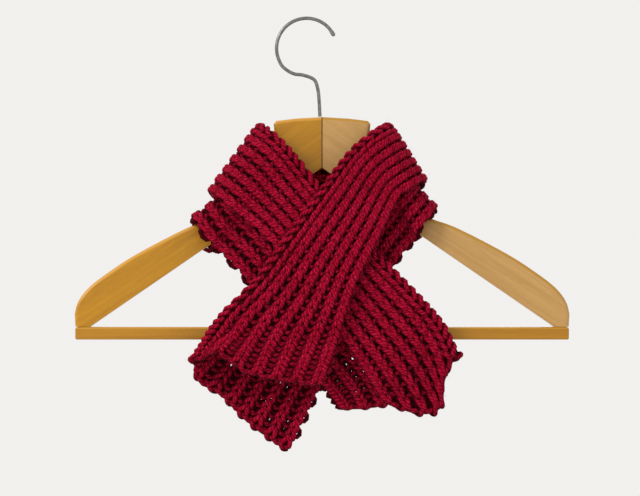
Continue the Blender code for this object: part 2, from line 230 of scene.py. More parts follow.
# The two strands of an edge cord swing to and fro along the scarf and through its thickness.
CORD_SWING = 1.7
CORD_HEIGHT = 2.0
CORD_STEP = 0.1
CORD_BEYOND = 1.0
CORD_CALM_COLUMNS = 1.5

# Loose fibres.
HAIR_RADIUS = 0.07
HAIR_SHORT = 1.5
HAIR_LONG = 5.0
HAIRS_PER_MM = 9.0

# The ground sheet between the stitches, dark as painted shade in the gaps.  It stops short of each
# seam.
BASE_HALF = 0.5
BASE_WAVE = 1.3
BASE_ROW_STEP = 4.4
BASE_EDGE_INSET = 0.2
SEAM_GAP = 0.3

# Places where the stitches are loose enough to see through, with thinner yarn, and the share of
# the gaps there that are open.
LOOSE_YARN = 0.86
LOOSE_PLACES = [
    # along from  to  column from  to  open
    (8.0, 70.0, 16.0, 27.5, 0.45),
    (8.0, 30.0, 0.5, 9.0, 0.12),
    (640.0, 692.0, 17.0, 27.5, 0.12),
]

# Grid on which the folded strip is worked out before the yarn is laid on it.
GRID_ROWS = 281
GRID_COLUMNS = 225

# Edges that turn by more than this stay crisp, on the arms and on the rounded bar and hook.
ARM_SHARP_DEGREES = 38.0
ROUND_SHARP_DEGREES = 60.0


def turn_station(turn, degrees, side):
    """One row of a turn.  side is -1 on the left, +1 on the right, and 0 degrees faces front."""
    axis = Vector((turn["out"], TURN_AXIS_SWEEP, turn["down"])).normalized()
    outward = Vector((side * -turn["down"], 0.0, side * turn["out"])).normalized()
    angle = math.radians(degrees)
    normal = Vector((0.0, -1.0, 0.0)) * math.cos(angle) + outward * math.sin(angle)
    normal = (normal - axis * normal.dot(axis)).normalized()
    start = Vector((turn["axis_x"], TURN_AXIS_BACK, turn["axis_z"]))
    start += axis * turn["slip"] * (1.0 - math.sin(angle))
    span = (axis + normal * turn["flare"]).normalized()
    mean_radius = turn["radius"] + turn["flare"] * TURN_MIDDLE_REACH
    swing = angle - math.pi / 2.0
    along = turn["along"] - side * swing * mean_radius
    return dict(along=along, neck=start + normal * turn["radius"], normal=normal,
                out_dir=span, in_dir=span, gap=TURN_GAP, out_w=turn["out_w"],
                in_w=turn["in_w"] + FRONT_SPREAD * math.cos(angle) ** 2, out_bow=0.0, in_bow=0.0,
                kick=turn["kick"] * math.sin(angle), settle=0.0, out_rank=0.0, in_rank=0.0)


def front_station(row, side, ranks):
    """One row in front of the hanger.  side is the way that the layers reach from the fold."""
    along, x, z, out_angle, out_w, in_angle, in_w, out_bow, in_bow, settle = row
    out_angle = math.radians(out_angle)
    in_angle = math.radians(in_angle)
    out_dir = Vector((side * math.cos(out_angle), TURN_AXIS_SWEEP, -math.sin(out_angle)))
    in_dir = Vector((side * math.cos(in_angle), TURN_AXIS_SWEEP, -math.sin(in_angle)))
    return dict(along=along, neck=Vector((x, FRONT_NECK_Y, z)), normal=Vector((0.0, -1.0, 0.0)),
                out_dir=out_dir.normalized(), in_dir=in_dir.normalized(), gap=FRONT_GAP,
                out_w=out_w, in_w=in_w, out_bow=out_bow, in_bow=in_bow, kick=0.0,
                settle=settle, out_rank=ranks[0], in_rank=ranks[1])


def nape_station():
    """The one row that hangs behind the neck."""
    down = Vector((0.0, NAPE["lean"], -1.0)).normalized()
    back = Vector((0.0, 1.0, NAPE["lean"])).normalized()
    return dict(along=NAPE["along"], neck=Vector((NAPE["x"], NAPE["y"], NAPE["z"])), normal=back,
                out_dir=down, in_dir=down, gap=NAPE["gap"], out_w=NAPE["out_w"],
                in_w=NAPE["in_w"], out_bow=0.0, in_bow=0.0, kick=0.0, settle=0.0,
                out_rank=0.0, in_rank=0.0)


def all_stations():
    under = (UNDER_OUT_RANK, UNDER_IN_RANK)
    over = (OVER_OUT_RANK, OVER_IN_RANK)
    stations = [front_station(row, -1, under) for row in UNDER_ROWS]
    for degrees in TURN_DEGREES:
        station = turn_station(LEFT_TURN, degrees, -1)
        station["out_rank"], station["in_rank"] = under
        stations.append(station)
    stations.append(nape_station())
    for degrees in reversed(TURN_DEGREES):
        station = turn_station(RIGHT_TURN, degrees, 1)
        station["out_rank"], station["in_rank"] = over
        stations.append(station)
    stations += [front_station(row, 1, over) for row in OVER_ROWS]
    return stations


def hermite(before, left, right, after, times, t):
    """Smooth value between left and right, with slopes taken from their neighbours."""
    t0, t1, t2, t3 = times
    step = t2 - t1
    slope_left = (right - before) / (t2 - t0)
    slope_right = (after - left) / (t3 - t1)
    s = (t - t1) / step
    value = left * (2 * s ** 3 - 3 * s ** 2 + 1) + right * (3 * s ** 2 - 2 * s ** 3)
    value = value + slope_left * (step * (s ** 3 - 2 * s ** 2 + s))
    return value + slope_right * (step * (s ** 3 - s ** 2))


def station_at(stations, along):
    """The row at any distance along the scarf, read smoothly between the stations."""
    last = len(stations) - 2
    index = 0
    while index < last and stations[index + 1]["along"] < along:
        index += 1
    rows = [stations[max(index - 1, 0)], stations[index], stations[index + 1],
            stations[min(index + 2, last + 1)]]
    times = [row["along"] for row in rows]
    if index == 0:
        times[0] = times[1] - 1e-3
    if index == last:
        times[3] = times[2] + 1e-3
    blended = {}
    for key in rows[0]:
        a, b, c, d = (row[key] for row in rows)
        if index == 0:
            a = b - (c - b) * (1e-3 / (times[2] - times[1]))
        if index == last:
            d = c + (c - b) * (1e-3 / (times[2] - times[1]))
        blended[key] = hermite(a, b, c, d, times, along)
    blended["settle"] = min(max(blended["settle"], 0.0), 1.0)
    return blended


def depth_at(z):
    """Depth of the hindmost layer at a height, read straight between the rows of the table."""
    rows = DEPTH_BY_HEIGHT
    if z >= rows[0][0]:
        return rows[0][1]
    for (upper_z, upper_y), (lower_z, lower_y) in zip(rows, rows[1:]):
        if z >= lower_z:
            return upper_y + (lower_y - upper_y) * (upper_z - z) / (upper_z - lower_z)
    return rows[-1][1]


def cloth_point(station, column):
    """Middle of the cloth at a column of one row."""
    normal = station["normal"].normalized()
    edge = FOLD_COLUMN - FOLD_HALF
    lift = 0.0
    if column <= edge:
        share = (edge - column) / edge
        direction = station["out_dir"].normalized()
        reach = station["out_w"] * share
        side = 1.0
        bow = station["out_bow"] * math.sin(math.pi * share)
    elif column >= FOLD_COLUMN + FOLD_HALF:
        share = (column - FOLD_COLUMN - FOLD_HALF) / (COLUMNS - FOLD_COLUMN - FOLD_HALF)
        direction = station["in_dir"].normalized()
        reach = station["in_w"] * share
        side = -1.0
        bow = station["in_bow"] * math.sin(math.pi * share)
        lift = station["kick"] * (max(share - KICK_FROM, 0.0) / (1.0 - KICK_FROM)) ** 2
    else:
        turn = math.pi * (column - edge) / (2.0 * FOLD_HALF)
        mix = (1.0 - math.cos(turn)) / 2.0
        direction = station["out_dir"].lerp(station["in_dir"], mix).normalized()
        reach = -FOLD_DEPTH * math.sin(turn)
        side = math.cos(turn)
        bow = 0.0
    ahead = direction.cross(normal).normalized()
    point = station["neck"] + direction * reach + ahead * bow
    point = point + normal * (side * station["gap"] / 2.0 + lift)
    mix = (1.0 + side) / 2.0
    rank = station["out_rank"] * mix + station["in_rank"] * (1.0 - mix)
    settled_y = depth_at(point.z) - LAYER_PITCH * rank
    point.y += (settled_y - point.y) * station["settle"]
    return point


def end_flare(along, column):
    """How the two ends leave the plain strip.

    The bind-off end hangs open: its front rim arches up and the cloth behind bows out.  The
    cast-on end is drawn in a little beside the fold.
    """
    share = min(max((along - FLARE_FROM) / (LENGTH - FLARE_FROM), 0.0), 1.0)
    reach = share * share * (3.0 - 2.0 * share)
    rim = reach * math.exp(-((column - RIM_COLUMN) / RIM_SPAN) ** 2)
    bow = reach * math.exp(-((column - BOW_COLUMN) / BOW_SPAN) ** 2)
    corner = reach * math.exp(-((column - FOLD_COLUMN) / CORNER_SPAN) ** 2)
    up = RIM_UP * rim - BOW_DOWN * bow - CORNER_DROP * corner
    share = min(max((TUCK_UNTIL - along) / TUCK_UNTIL, 0.0), 1.0)
    tuck = share * share * math.exp(-((column - TUCK_COLUMN) / TUCK_SPAN) ** 2)
    return Vector((-BOW_OUT * bow - TUCK_IN * tuck, -RIM_FORWARD * rim, up))


class Strip:
    """The middle surface of the folded strip, as a grid that is read between its points."""

    def __init__(self):
        stations = all_stations()
        self.alongs = np.linspace(0.0, LENGTH, GRID_ROWS)
        self.columns = np.linspace(0.0, COLUMNS, GRID_COLUMNS)
        grid = np.zeros((GRID_ROWS, GRID_COLUMNS, 3))
        for i, along in enumerate(self.alongs):
            row = station_at(stations, along)
            for j, column in enumerate(self.columns):
                grid[i, j] = cloth_point(row, column) + end_flare(along, column)
        grid[:, :, 0] += CENTRE_X
        across = np.gradient(grid, axis=1)
        forward = np.gradient(grid, axis=0)
        normal = np.cross(across, forward)
        normal /= np.linalg.norm(normal, axis=2, keepdims=True)
        self.grid = grid
        self.normal = normal

    def read(self, along, column):
        """Points and normals at arrays of distances and columns, straight on past the edges."""
        u = np.asarray(along) / LENGTH * (GRID_ROWS - 1)
        v = np.asarray(column) / COLUMNS * (GRID_COLUMNS - 1)
        i = np.clip(np.floor(u).astype(int), 0, GRID_ROWS - 2)
        j = np.clip(np.floor(v).astype(int), 0, GRID_COLUMNS - 2)
        s = (u - i)[:, None]
        t = (v - j)[:, None]
        found = []
        for field in (self.grid, self.normal):
            low = field[i, j] * (1 - t) + field[i, j + 1] * t
            high = field[i + 1, j] * (1 - t) + field[i + 1, j + 1] * t
            found.append(low * (1 - s) + high * s)
        point, normal = found
        normal /= np.linalg.norm(normal, axis=1, keepdims=True)
        return point, normal


def row_centre(row):
    """Distance along the scarf of the middle of a row of stitches."""
    return ROW_EDGE + (LENGTH - 2.0 * ROW_EDGE) * row / (ROWS - 1)


def row_yarn(row, first, last, rng):
    """Along, column and height of the yarn through the stitches of one row.

    Knit loops stand in front and purl ones behind, each wider than its column, so that the
    cloth is pleated like ribbing and the purl columns sink into the grooves.
    """
    share = np.arange(STITCH_POINTS) / STITCH_POINTS
    loop = LOOP_WIDTH * (share - 0.5 + LOOP_SWING * np.sin(4 * np.pi * share))
    joint = np.clip(np.cos(2 * np.pi * share), 0.0, 1.0) ** 4
    loop -= (LOOP_WIDTH - 1.0) / 2 * joint * np.sign(share - 0.5)
    climb = -np.cos(2 * np.pi * share)
    bulge = LEG_RISE * (1 - np.cos(4 * np.pi * share)) + HEAD_DROP * (np.cos(2 * np.pi * share) - 1) / 2
    path = []
    for column in range(first, last):
        side = 1.0 if column % 2 == 0 else -1.0
        size = 1.0 + rng.normal(0.0, 0.05)
        lean = rng.normal(0.0, WOBBLE)
        along = row_centre(row) + LOOP_HALF_HEIGHT * size * climb + lean
        across = column + 0.5 + loop * (1.0 + rng.normal(0.0, 0.05))
        if column == FOLD_COLUMN - 1:
            across = column + 0.5 - FOLD_SHIFT + loop * FOLD_WIDEN
        if column == FOLD_COLUMN:
            across = column + 0.5 + FOLD_SHIFT + loop * FOLD_WIDEN
        height = side * bulge * (1.0 + rng.normal(0.0, 0.06))
        path.append(np.stack([along, across, height], axis=1))
    foot = row_centre(row) - LOOP_HALF_HEIGHT
    path.append(np.array([[foot, last, 0.0]]))
    return np.concatenate(path)


def panel_yarn(first_row, last_row, first, last, rng):
    """One strand to and fro across the rows, with a small bump where it turns."""
    strand = []
    for row in range(first_row, last_row):
        path = row_yarn(row, first, last, rng)
        outward = 1.0
        if row % 2:
            path = path[::-1]
            outward = -1.0
        strand.append(path)
        if row + 1 < last_row:
            edge = path[-1]
            following = row_centre(row + 1) - LOOP_HALF_HEIGHT
            step = following - edge[0]
            strand.append(np.array([[edge[0] + share * step, edge[1] + out * outward, height]
                                    for share, out, height in SELVEDGE_BUMP]))
    return np.concatenate(strand)


def edge_cord(along, hand):
    """Two strands twisted loosely round each other along a cast-on or bind-off edge."""
    column = np.arange(0.0, COLUMNS + 0.001, CORD_STEP)
    cords = []
    for phase in (0.0, math.pi):
        turn = math.pi * column * hand + phase
        calm = 1.0 - np.exp(-((column - FOLD_COLUMN) / CORD_CALM_COLUMNS) ** 2)
        scallop = EDGE_SCALLOP * np.cos(math.pi * (column - 0.5)) * hand * calm
        cords.append(np.stack([along + scallop + CORD_SWING * np.sin(turn), column,
                               CORD_HEIGHT * np.cos(turn)], axis=1))
    return cords


def hairs(strip, strands, count, rng):
    """Short loose fibres that stand off the yarn."""
    points = np.concatenate(strands)
    picked = points[rng.integers(0, len(points), count)]
    base, normal = strip.read(picked[:, 0], picked[:, 1])
    base = base + normal * picked[:, 2:3]
    lift = normal * np.sign(picked[:, 2:3] + 0.01) + rng.normal(0.0, 0.7, base.shape)
    lift /= np.linalg.norm(lift, axis=1, keepdims=True)
    bend = rng.normal(0.0, 1.0, base.shape)
    reach = rng.uniform(HAIR_SHORT, HAIR_LONG, (count, 1))
    spine = [base + lift * YARN_RADIUS * 0.8]
    spine.append(spine[0] + lift * reach * 0.5 + bend * reach * 0.08)
    spine.append(spine[0] + lift * reach + bend * reach * 0.3)
    across = np.cross(lift, bend)
    across /= np.linalg.norm(across, axis=1, keepdims=True)
    other = np.cross(lift, across)
    rings = []
    for point, size in zip(spine, (1.0, 0.8, 0.3)):
        for turn in (0.0, 2.1, 4.2):
            offset = across * math.cos(turn) + other * math.sin(turn)
            rings.append(point + offset * HAIR_RADIUS * size)
    verts = np.stack(rings, axis=1).reshape(-1, 3)
    pattern = []
    for ring in (0, 3):
        for step in range(3):
            after = (step + 1) % 3
            pattern.append((ring + step, ring + after, ring + 3 + after, ring + 3 + step))
    faces = np.array(pattern)[None, :, :] + 9 * np.arange(count)[:, None, None]
    return verts, faces.reshape(-1, 4)


def yarn_mesh(name, strip, strands, radius, sides):
    """Sweep a round section along strands given by along, column and height."""
    verts = []
    faces = []
    uvs = []
    reliefs = []
    base = 0
    angles = 2 * np.pi * np.arange(sides) / sides
    for strand in strands:
        point, normal = strip.read(strand[:, 0], strand[:, 1])
        point = point + normal * strand[:, 2:3]
        tangent = np.gradient(point, axis=0)
        tangent /= np.linalg.norm(tangent, axis=1, keepdims=True)
        side = np.cross(tangent, normal)
        side /= np.linalg.norm(side, axis=1, keepdims=True)
        lift = np.cross(side, tangent)
        count = len(point)
        thick = np.full(count, radius)
        for low, high, left, right, _ in LOOSE_PLACES:
            inside = (strand[:, 0] > low) & (strand[:, 0] < high)
            inside &= (strand[:, 1] > left) & (strand[:, 1] < right)
            thick[inside] = LOOSE_YARN * radius
        thick[[0, -1]] = 0.05 * radius
        ring = (np.cos(angles)[None, :, None] * lift[:, None, :]
                + np.sin(angles)[None, :, None] * side[:, None, :])
        ring = ring * thick[:, None, None]
        # Relief is how far each point stands out from the middle of the cloth; the wool material turns
        # it into painted shade in the grooves.
        rise = np.einsum("ijk,ik->ij", ring, normal) + strand[:, 2:3]
        reliefs.append(np.abs(rise).ravel() / CREST)
        verts.append((point[:, None, :] + ring).reshape(-1, 3))
        steps = np.linalg.norm(np.diff(point, axis=0), axis=1)
        length = np.concatenate([[0.0], np.cumsum(steps)]) * 0.1
        i = np.arange(count - 1)[:, None]
        k = np.arange(sides)[None, :]
        after = (k + 1) % sides
        quad = np.stack([i * sides + k, (i + 1) * sides + k, (i + 1) * sides + after,
                         i * sides + after], axis=2) + base
        faces.append(quad.reshape(-1, 4))
        near = np.broadcast_to(length[:-1, None], (count - 1, sides))
        far = np.broadcast_to(length[1:, None], (count - 1, sides))
        low = np.broadcast_to(k / sides, (count - 1, sides))
        high = np.broadcast_to((k + 1) / sides, (count - 1, sides))
        uv = np.stack([np.stack([near, low], 2), np.stack([far, low], 2),
                       np.stack([far, high], 2), np.stack([near, high], 2)], axis=2)
        uvs.append(uv.reshape(-1, 2))
        base += count * sides
    thing = mesh_piece(name, np.concatenate(verts), np.concatenate(faces), np.concatenate(uvs))
    relief = thing.data.attributes.new("relief", "FLOAT", "POINT")
    relief.data.foreach_set("value", np.concatenate(reliefs).astype(np.float32))
    return thing


def mesh_piece(name, verts, quads, uvs=None):
    """An object in metres from arrays of points and four-sided faces in millimetres."""
    mesh = bpy.data.meshes.new(name)
    mesh.vertices.add(len(verts))
    mesh.vertices.foreach_set("co", (verts * METRE).astype(np.float32).ravel())
    mesh.loops.add(len(quads) * 4)
    mesh.loops.foreach_set("vertex_index", quads.astype(np.int32).ravel())
    mesh.polygons.add(len(quads))
    mesh.polygons.foreach_set("loop_start", np.arange(len(quads), dtype=np.int32) * 4)
    mesh.update(calc_edges=True)
    if uvs is not None:
        layer = mesh.uv_layers.new(name="UVMap")
        layer.data.foreach_set("uv", uvs.astype(np.float32).ravel())
    mesh.validate()
    mesh.shade_smooth()
    thing = bpy.data.objects.new(name, mesh)
    bpy.context.scene.collection.objects.link(thing)
    return thing


# ---------------------------------------------------------------- base cloth

def base_cloth(name, strip, first, last, slit=None):
    """The thin ground sheet between the stitches, waved with the ribs, as a closed wall, dark as
    painted shade in the gaps.
    """
    count = int(round((last - first) / BASE_ROW_STEP))
    alongs = first + (last - first) * np.arange(count + 1) / count
    columns = np.arange(2 * int(COLUMNS) + 1) / 2.0
    columns[0] = BASE_EDGE_INSET
    columns[-1] -= BASE_EDGE_INSET
    wave = np.where(np.arange(len(columns)) % 4 == 1, 1.0, np.where(
        np.arange(len(columns)) % 4 == 3, -1.0, 0.0)) * BASE_WAVE
    rows, cols = len(alongs), len(columns)
    u, v = np.meshgrid(alongs, columns, indexing="ij")
    point, normal = strip.read(u.ravel(), v.ravel())
    height = np.broadcast_to(wave, (rows, cols)).ravel()[:, None]
    outer = point + normal * (height + BASE_HALF)
    inner = point + normal * (height - BASE_HALF)
    verts = np.concatenate([outer, inner])
    shift = rows * cols

    loose = np.random.default_rng(SEED).random((rows, cols))

    def kept(i, j):
        if not (0 <= i < rows - 1 and 0 <= j < cols - 1):
            return False
        along = (alongs[i] + alongs[i + 1]) / 2
        column = (columns[j] + columns[j + 1]) / 2
        if slit and slit[0] < along < slit[1] and abs(column - FOLD_COLUMN) < FOLD_HALF:
            return False
        for low, high, left, right, chance in LOOSE_PLACES:
            if low < along < high and left < column < right:
                return loose[i, j] > chance
        return True

    quads = []
    for i in range(rows - 1):
        for j in range(cols - 1):
            if not kept(i, j):
                continue
            a, b = i * cols + j, i * cols + j + 1
            c, d = (i + 1) * cols + j + 1, (i + 1) * cols + j
            quads.append((a, b, c, d))
            quads.append((d + shift, c + shift, b + shift, a + shift))
            for ni, nj, p, q in ((i - 1, j, a, b), (i, j + 1, b, c), (i + 1, j, c, d),
                                 (i, j - 1, d, a)):
                if not kept(ni, nj):
                    quads.append((p + shift, q + shift, q, p))
    quads = np.array(quads)
    used = np.unique(quads)
    remap = np.zeros(len(verts), dtype=int)
    remap[used] = np.arange(len(used))
    return mesh_piece(name, verts[used], remap[quads])


# ---------------------------------------------------------------- materials

def new_material(name, colour, roughness, metallic=0.0):
    material = bpy.data.materials.new(name)
    material.use_nodes = True
    tree = material.node_tree
    shader = tree.nodes["Principled BSDF"]
    shader.inputs["Base Color"].default_value = (*colour, 1.0)
    shader.inputs["Roughness"].default_value = roughness
    shader.inputs["Metallic"].default_value = metallic
    return material, tree, shader


def add_node(tree, kind, **values):
    node = tree.nodes.new(kind)
    for key, value in values.items():
        if key in node.inputs:
            node.inputs[key].default_value = value
        else:
            setattr(node, key, value)
    return node


def ramp(tree, source, stops):
    node = tree.nodes.new("ShaderNodeValToRGB")
    elements = node.color_ramp.elements
    while len(elements) < len(stops):
        elements.new(0.5)
    for element, (place, colour) in zip(elements, stops):
        element.position = place
        element.color = (*colour, 1.0)
    tree.links.new(source, node.inputs["Fac"])
    return node.outputs["Color"]


def maths(tree, operation, first, second):
    node = tree.nodes.new("ShaderNodeMath")
    node.operation = operation
    for socket, value in zip(node.inputs, (first, second)):
        if isinstance(value, (int, float)):
            socket.default_value = value
        else:
            tree.links.new(value, socket)
    return node.outputs[0]


# Wool colours from deep to light.  The tone between them varies at random with hairs, patches and
# streaks, and carries painted shade between the plies and painted highlight on their crests.
WOOL_DEEP = (0.055, 0.0003, 0.0025)
WOOL_MAIN = (0.325, 0.0012, 0.020)
WOOL_LIGHT = (0.71, 0.036, 0.115)
PLIES = 3.0
PLY_LAY = 0.86
THREADS = 6.0
# How much painted shade and highlight the ply and thread waves add to the wool's tone.
PLY_PAINTED_SHADE = 0.20
HAIR_TONE = 0.35
PATCH_TONE = 0.18
THREAD_PAINTED_SHADE = 0.12
STREAK_TONE = 0.9
PLY_HEIGHT = 0.38
HAIR_HEIGHT = 0.8
THREAD_HEIGHT = 0.3


def wool_material():
    """Plied wool: the plies are diagonal ridges round the strand, with loose hairs over them."""
    material, tree, shader = new_material("crimson_wool", WOOL_MAIN, 0.88)
    link = tree.links.new
    uv = add_node(tree, "ShaderNodeUVMap", uv_map="UVMap")
    split = add_node(tree, "ShaderNodeSeparateXYZ")
    link(uv.outputs["UV"], split.inputs[0])
    where = add_node(tree, "ShaderNodeTexCoord")
    turns = maths(tree, "ADD", maths(tree, "MULTIPLY", split.outputs["X"], PLIES / PLY_LAY),
                  maths(tree, "MULTIPLY", split.outputs["Y"], PLIES))
    wave = maths(tree, "SINE", maths(tree, "MULTIPLY", turns, 2 * math.pi), 0.0)
    ply = maths(tree, "MULTIPLY_ADD", wave, 0.5)
    ply.node.inputs[2].default_value = 0.5
    thread_turns = maths(tree, "MULTIPLY", turns, THREADS / PLIES)
    thread_wave = maths(tree, "SINE", maths(tree, "MULTIPLY", thread_turns, 2 * math.pi), 0.0)
    thread = maths(tree, "MULTIPLY_ADD", thread_wave, 0.5)
    thread.node.inputs[2].default_value = 0.5
    hairs = add_node(tree, "ShaderNodeTexNoise", Scale=1400.0, Detail=3.0, Roughness=0.7)
    link(where.outputs["Object"], hairs.inputs["Vector"])
    patches = add_node(tree, "ShaderNodeTexNoise", Scale=55.0, Detail=2.0)
    link(where.outputs["Object"], patches.inputs["Vector"])
    # Tone of the wool: painted shade in the valleys between plies and threads, painted highlight on
    # their crests, and random tone from hairs and patches.
    tone = maths(tree, "ADD", maths(tree, "MULTIPLY", ply, PLY_PAINTED_SHADE),
                 maths(tree, "MULTIPLY", hairs.outputs["Fac"], HAIR_TONE))
    patch_tone = maths(tree, "MULTIPLY", patches.outputs["Fac"], PATCH_TONE)
    tone = maths(tree, "ADD", tone, patch_tone)
    tone = maths(tree, "ADD", tone, maths(tree, "MULTIPLY", thread, THREAD_PAINTED_SHADE))
    lengthwise = add_node(tree, "ShaderNodeMapping")
    lengthwise.inputs["Scale"].default_value = (5.0, 24.0, 1.0)
    link(uv.outputs["UV"], lengthwise.inputs["Vector"])
    streak = add_node(tree, "ShaderNodeTexNoise", Scale=1.0, Detail=2.0)
    link(lengthwise.outputs["Vector"], streak.inputs["Vector"])
    uneven = maths(tree, "SUBTRACT", streak.outputs["Fac"], 0.5)
    streak_tone = maths(tree, "MULTIPLY", uneven, STREAK_TONE)
    tone = maths(tree, "ADD", tone, streak_tone)
    colour = ramp(tree, tone, [(0.18, WOOL_DEEP), (0.50, WOOL_MAIN), (0.88, WOOL_LIGHT)])
    # Painted shade: yarn lying deep in the grooves is darkened to about a sixth of its colour, and yarn
    # on the crests is made a touch lighter as painted highlight.
    relief = add_node(tree, "ShaderNodeAttribute", attribute_name="relief")
    groove_shade = ramp(tree, relief.outputs["Fac"], [(0.2, (0.16,) * 3), (0.86, (1.08,) * 3)])
    shaded = add_node(tree, "ShaderNodeMix")
    shaded.data_type = "RGBA"
    shaded.blend_type = "MULTIPLY"
    shaded.inputs["Factor"].default_value = 1.0
    link(colour, shaded.inputs[6])
    link(groove_shade, shaded.inputs[7])
    link(shaded.outputs[2], shader.inputs["Base Color"])
    height = maths(tree, "MULTIPLY", ply, PLY_HEIGHT)
    hair_height = maths(tree, "MULTIPLY", hairs.outputs["Fac"], HAIR_HEIGHT)
    height = maths(tree, "ADD", height, hair_height)
    height = maths(tree, "ADD", height, maths(tree, "MULTIPLY", thread, THREAD_HEIGHT))
    bump = add_node(tree, "ShaderNodeBump", Strength=0.9, Distance=0.0006)
    link(height, bump.inputs["Height"])
    link(bump.outputs["Normal"], shader.inputs["Normal"])
    shader.inputs["Sheen Weight"].default_value = 0.07
    shader.inputs["Sheen Roughness"].default_value = 0.4
    shader.inputs["Sheen Tint"].default_value = (0.95, 0.12, 0.28, 1.0)
    shader.inputs["Specular IOR Level"].default_value = 0.04
    return material


def gap_shade_material():
    # Painted shade: the sheet between the stitches is much darker than the yarn, standing for the shade
    # in the gaps.
    material, tree, shader = new_material("gap_shade_sheet", WOOL_DEEP, 0.95)
    where = add_node(tree, "ShaderNodeTexCoord")
    hairs = add_node(tree, "ShaderNodeTexNoise", Scale=1500.0, Detail=4.0)
    tree.links.new(where.outputs["Object"], hairs.inputs["Vector"])
    colour = ramp(tree, hairs.outputs["Fac"], [(0.3, (0.035, 0.0003, 0.003)), (0.7, WOOL_DEEP)])
    shader.inputs["Specular IOR Level"].default_value = 0.05
    tree.links.new(colour, shader.inputs["Base Color"])
    bump = add_node(tree, "ShaderNodeBump", Strength=0.7, Distance=0.0005)
    tree.links.new(hairs.outputs["Fac"], bump.inputs["Height"])
    tree.links.new(bump.outputs["Normal"], shader.inputs["Normal"])
    return material


def fibre_material():
    """Loose fibres, a little lighter than the yarn they come from."""
    material, tree, shader = new_material("loose_fibre", WOOL_LIGHT, 0.8)
    where = add_node(tree, "ShaderNodeTexCoord")
    patch = add_node(tree, "ShaderNodeTexNoise", Scale=200.0)
    tree.links.new(where.outputs["Object"], patch.inputs["Vector"])
    colour = ramp(tree, patch.outputs["Fac"], [(0.3, WOOL_MAIN), (0.7, (0.5, 0.03, 0.09))])
    tree.links.new(colour, shader.inputs["Base Color"])
    return material


def wood_material(name, slope_degrees, light, dark, edge, joint):
    """Satin beech: long grain, short flecks, painted light on the upward-facing edges, a clear coat."""
    material, tree, shader = new_material(name, light, 0.42)
    link = tree.links.new
    where = add_node(tree, "ShaderNodeTexCoord")
    turned = add_node(tree, "ShaderNodeMapping")
    turned.inputs["Rotation"].default_value = (0.0, math.radians(slope_degrees), 0.0)
    link(where.outputs["Object"], turned.inputs["Vector"])
    stretched = add_node(tree, "ShaderNodeMapping")
    stretched.inputs["Scale"].default_value = (7.0, 60.0, 260.0)
    link(turned.outputs["Vector"], stretched.inputs["Vector"])
    grain = add_node(tree, "ShaderNodeTexNoise", Scale=1.0, Detail=5.0, Roughness=0.6,
                     Distortion=0.6)
    link(stretched.outputs["Vector"], grain.inputs["Vector"])
    fine = add_node(tree, "ShaderNodeMapping")
    fine.inputs["Scale"].default_value = (60.0, 900.0, 1300.0)
    link(turned.outputs["Vector"], fine.inputs["Vector"])
    fleck = add_node(tree, "ShaderNodeTexNoise", Scale=1.0, Detail=3.0)
    link(fine.outputs["Vector"], fleck.inputs["Vector"])
    tone = maths(tree, "ADD", maths(tree, "MULTIPLY", grain.outputs["Fac"], 0.7),
                 maths(tree, "MULTIPLY", fleck.outputs["Fac"], 0.3))
    colour = ramp(tree, tone, [(0.32, dark), (0.55, light), (0.75, tuple(min(1.0, c * 1.15)
                                                                      for c in light))])
    # Painted light: surfaces that face upwards blend towards the edge colour, lighter on the left arm
    # and the bar and darker on the right arm.
    facing = add_node(tree, "ShaderNodeNewGeometry")
    up = add_node(tree, "ShaderNodeSeparateXYZ")
    link(facing.outputs["Normal"], up.inputs[0])
    painted_top_mask = ramp(tree, up.outputs["Z"], [(0.12, (0.0,) * 3), (0.45, (0.9,) * 3)])
    painted_top_colour = add_node(tree, "ShaderNodeMix")
    painted_top_colour.data_type = "RGBA"
    link(painted_top_mask, painted_top_colour.inputs["Factor"])
    link(colour, painted_top_colour.inputs[6])
    painted_top_colour.inputs[7].default_value = (*edge, 1.0)
    place = add_node(tree, "ShaderNodeSeparateXYZ")
    link(where.outputs["Object"], place.inputs[0])
    apart = maths(tree, "ABSOLUTE", maths(tree, "SUBTRACT", place.outputs["X"],
                                          CENTRE_X * METRE), 0.0)
    line = ramp(tree, maths(tree, "MULTIPLY", apart, 1000.0),
                [(0.25, joint), (0.75, (1.0,) * 3)])
    darkened = add_node(tree, "ShaderNodeMix")
    darkened.data_type = "RGBA"
    darkened.blend_type = "MULTIPLY"
    darkened.inputs["Factor"].default_value = 1.0
    link(painted_top_colour.outputs[2], darkened.inputs[6])
    link(line, darkened.inputs[7])
    link(darkened.outputs[2], shader.inputs["Base Color"])
    rough = ramp(tree, fleck.outputs["Fac"], [(0.3, (0.36,) * 3), (0.7, (0.52,) * 3)])
    link(rough, shader.inputs["Roughness"])
    bump = add_node(tree, "ShaderNodeBump", Strength=0.25, Distance=0.0003)
    link(tone, bump.inputs["Height"])
    link(bump.outputs["Normal"], shader.inputs["Normal"])
    shader.inputs["Specular IOR Level"].default_value = 0.3
    shader.inputs["Coat Weight"].default_value = 0.2
    shader.inputs["Coat Roughness"].default_value = 0.25
    return material


